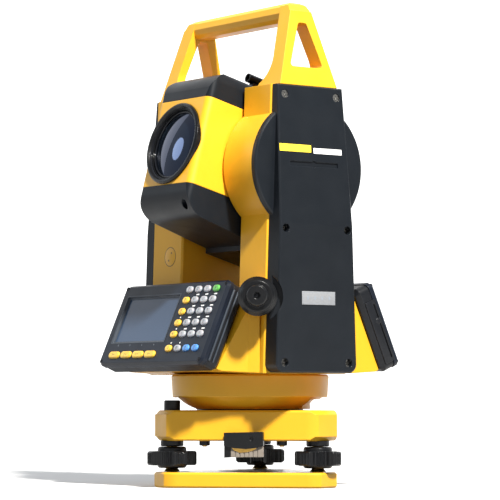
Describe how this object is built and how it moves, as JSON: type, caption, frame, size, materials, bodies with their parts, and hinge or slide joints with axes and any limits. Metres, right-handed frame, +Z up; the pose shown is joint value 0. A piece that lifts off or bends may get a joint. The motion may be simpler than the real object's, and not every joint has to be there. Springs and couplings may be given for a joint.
{
  "type": "surveying total station",
  "caption": "Surveying total station: three-screw tribrach, rotating alidade with two display keypads, tilting telescope between standards and an A-frame carrying handle.",
  "frame": {"origin": "centre of the base plate's underside, on the vertical turning axis", "axes": "+Z up along the turning axis, -Y towards the objective, +X towards the screwed side cover"},
  "size_m": [0.1819, 0.1491, 0.331],
  "materials": {
    "yellow_enamel": "satin yellow enamel on a die casting",
    "black_plastic": "fine grained black moulding",
    "black_cover": "satin black moulding",
    "panel_plastic": "satin blue-black moulding",
    "steel": "turned steel",
    "dark_metal": "blackened metal",
    "brass": "turned brass, slightly dull",
    "bronze": "bearing bronze",
    "optical_glass": "coated objective glass",
    "circle_glass": "divided glass circle",
    "level_glass": "spirit level glass",
    "lcd": "grey-blue display window",
    "lever_grip": "light grey moulding",
    "key_grey": "light grey key rubber",
    "key_orange": "orange key rubber",
    "key_blue": "blue key rubber",
    "key_green": "green key rubber"
  },
  "bodies": {
    "tribrach": {"base_plate": "yellow_enamel", "spring_plate": "steel", "tribrach_body": "yellow_enamel", "footscrew_collars": "black_plastic", "underside_plugs": "black_plastic", "circular_level_cup": "black_plastic", "circular_level_vial": "level_glass", "centring_plug": "dark_metal", "neck_housing": "yellow_enamel", "axis_bush": "bronze", "horizontal_circle": "circle_glass"},
    "alidade": {"circle_drum": "yellow_enamel", "axis_spindle": "steel", "alidade_base": "yellow_enamel", "left_standard": "yellow_enamel", "right_standard": "yellow_enamel", "side_cover": "black_cover", "side_cover_screws": "steel", "left_cover": "black_cover", "handle": "yellow_enamel", "trunnion_bearings": "bronze", "plate_level_cup": "dark_metal", "plate_level_vial": "level_glass", "front_case_face": "panel_plastic", "front_case_back": "panel_plastic", "front_lcd": "lcd", "rear_case_face": "panel_plastic", "rear_case_back": "panel_plastic", "rear_lcd": "lcd"},
    "clamp_lever": {"clamp_lever": "black_plastic", "clamp_lever_grip": "lever_grip"},
    "battery": {"battery_pack": "black_plastic"},
    "battery_latch": {"battery_latch": "black_plastic"},
    "telescope": {"telescope_housing": "yellow_enamel", "telescope_top_cover": "black_cover", "telescope_bottom_cover": "black_cover", "objective_ring": "dark_metal", "objective_lens": "optical_glass", "finder_sight": "dark_metal", "trunnion_shafts": "steel", "vertical_circle": "circle_glass"},
    "focus_ring": {"focus_ring": "black_plastic"},
    "eyepiece": {"eyepiece": "black_plastic"},
    "horizontal_clamp_ring": {"horizontal_clamp_ring": "black_plastic"},
    "horizontal_tangent_knob": {"horizontal_tangent_knob": "black_plastic"},
    "vertical_clamp_ring": {"vertical_clamp_ring": "black_plastic"},
    "vertical_tangent_knob": {"vertical_tangent_knob": "black_plastic"},
    "footscrew_1": {"footscrew_stem_1": "brass", "footscrew_knob_1": "black_plastic"},
    "footscrew_2": {"footscrew_stem_2": "brass", "footscrew_knob_2": "black_plastic"},
    "footscrew_3": {"footscrew_stem_3": "brass", "footscrew_knob_3": "black_plastic"},
    "front_soft_keys": {"front_soft_keys": "key_orange"},
    "front_orange_keys": {"front_orange_keys": "key_orange"},
    "front_white_keys": {"front_white_keys": "key_grey"},
    "front_blue_keys": {"front_blue_keys": "key_blue"},
    "front_power_keys": {"front_power_keys": "key_green"},
    "rear_orange_keys": {"rear_orange_keys": "key_orange"},
    "rear_number_keys": {"rear_number_keys": "key_grey"}
  },
  "joints": [
    {"name": "alidade_turn", "type": "hinge", "parent": "tribrach", "child": "alidade", "pos_m": [0, 0, 0.07], "axis": [0, 0, 1], "continuous": true},
    {"name": "telescope_tilt", "type": "hinge", "parent": "alidade", "child": "telescope", "pos_m": [0, 0, 0.2175], "axis": [1, 0, 0], "continuous": true},
    {"name": "footscrew_1_turn", "type": "hinge", "parent": "tribrach", "child": "footscrew_1", "pos_m": [0.05552, 0.01676, 0.02], "axis": [0, 0, 1], "range_deg": [-1800, 1800]},
    {"name": "footscrew_2_turn", "type": "hinge", "parent": "tribrach", "child": "footscrew_2", "pos_m": [-0.04228, 0.0397, 0.02], "axis": [0, 0, 1], "range_deg": [-1800, 1800]},
    {"name": "footscrew_3_turn", "type": "hinge", "parent": "tribrach", "child": "footscrew_3", "pos_m": [-0.01324, -0.05647, 0.02], "axis": [0, 0, 1], "range_deg": [-1800, 1800]},
    {"name": "clamp_lever_turn", "type": "hinge", "parent": "tribrach", "child": "clamp_lever", "pos_m": [0.03775, -0.02517, 0.0335], "axis": [0.729, -0.6845, 0], "range_deg": [0, 180]},
    {"name": "focus_turn", "type": "hinge", "parent": "telescope", "child": "focus_ring", "pos_m": [0, 0, 0.2175], "axis": [0, -0.9659, 0.2588], "range_deg": [-270, 270]},
    {"name": "dioptre_turn", "type": "hinge", "parent": "telescope", "child": "eyepiece", "pos_m": [0, 0, 0.2175], "axis": [0, -0.9659, 0.2588], "range_deg": [-180, 180]},
    {"name": "horizontal_clamp_turn", "type": "hinge", "parent": "alidade", "child": "horizontal_clamp_ring", "pos_m": [0.06, -0.037, 0.1285], "axis": [0.7934, -0.6088, 0], "range_deg": [0, 90]},
    {"name": "horizontal_tangent_turn", "type": "hinge", "parent": "alidade", "child": "horizontal_tangent_knob", "pos_m": [0.06, -0.037, 0.1285], "axis": [0.7934, -0.6088, 0], "range_deg": [-1080, 1080]},
    {"name": "vertical_clamp_turn", "type": "hinge", "parent": "alidade", "child": "vertical_clamp_ring", "pos_m": [-0.0695, 0.037, 0.1285], "axis": [-0.7934, 0.6088, 0], "range_deg": [0, 90]},
    {"name": "vertical_tangent_turn", "type": "hinge", "parent": "alidade", "child": "vertical_tangent_knob", "pos_m": [-0.0695, 0.037, 0.1285], "axis": [-0.7934, 0.6088, 0], "range_deg": [-1080, 1080]},
    {"name": "battery_slide", "type": "slide", "parent": "alidade", "child": "battery", "axis": [-1, 0, 0], "range_m": [0, 0.03]},
    {"name": "battery_latch_slide", "type": "slide", "parent": "battery", "child": "battery_latch", "axis": [0, 0, 1], "range_m": [0, 0.0035], "stiffness_N_per_m": 300, "springref_m": -0.001},
    {"name": "front_soft_keys_press", "type": "slide", "parent": "alidade", "child": "front_soft_keys", "axis": [0, 0.9157, -0.4019], "range_m": [0, 0.0008], "stiffness_N_per_m": 900, "springref_m": -0.0003},
    {"name": "front_orange_keys_press", "type": "slide", "parent": "alidade", "child": "front_orange_keys", "axis": [0, 0.9157, -0.4019], "range_m": [0, 0.0008], "stiffness_N_per_m": 900, "springref_m": -0.0003},
    {"name": "front_white_keys_press", "type": "slide", "parent": "alidade", "child": "front_white_keys", "axis": [0, 0.9157, -0.4019], "range_m": [0, 0.0008], "stiffness_N_per_m": 900, "springref_m": -0.0003},
    {"name": "front_blue_keys_press", "type": "slide", "parent": "alidade", "child": "front_blue_keys", "axis": [0, 0.9157, -0.4019], "range_m": [0, 0.0008], "stiffness_N_per_m": 900, "springref_m": -0.0003},
    {"name": "front_power_keys_press", "type": "slide", "parent": "alidade", "child": "front_power_keys", "axis": [0, 0.9157, -0.4019], "range_m": [0, 0.0008], "stiffness_N_per_m": 900, "springref_m": -0.0003},
    {"name": "rear_orange_keys_press", "type": "slide", "parent": "alidade", "child": "rear_orange_keys", "axis": [0, -0.9157, -0.4019], "range_m": [0, 0.0008], "stiffness_N_per_m": 900, "springref_m": -0.0003},
    {"name": "rear_number_keys_press", "type": "slide", "parent": "alidade", "child": "rear_number_keys", "axis": [0, -0.9157, -0.4019], "range_m": [0, 0.0008], "stiffness_N_per_m": 900, "springref_m": -0.0003}
  ]
}
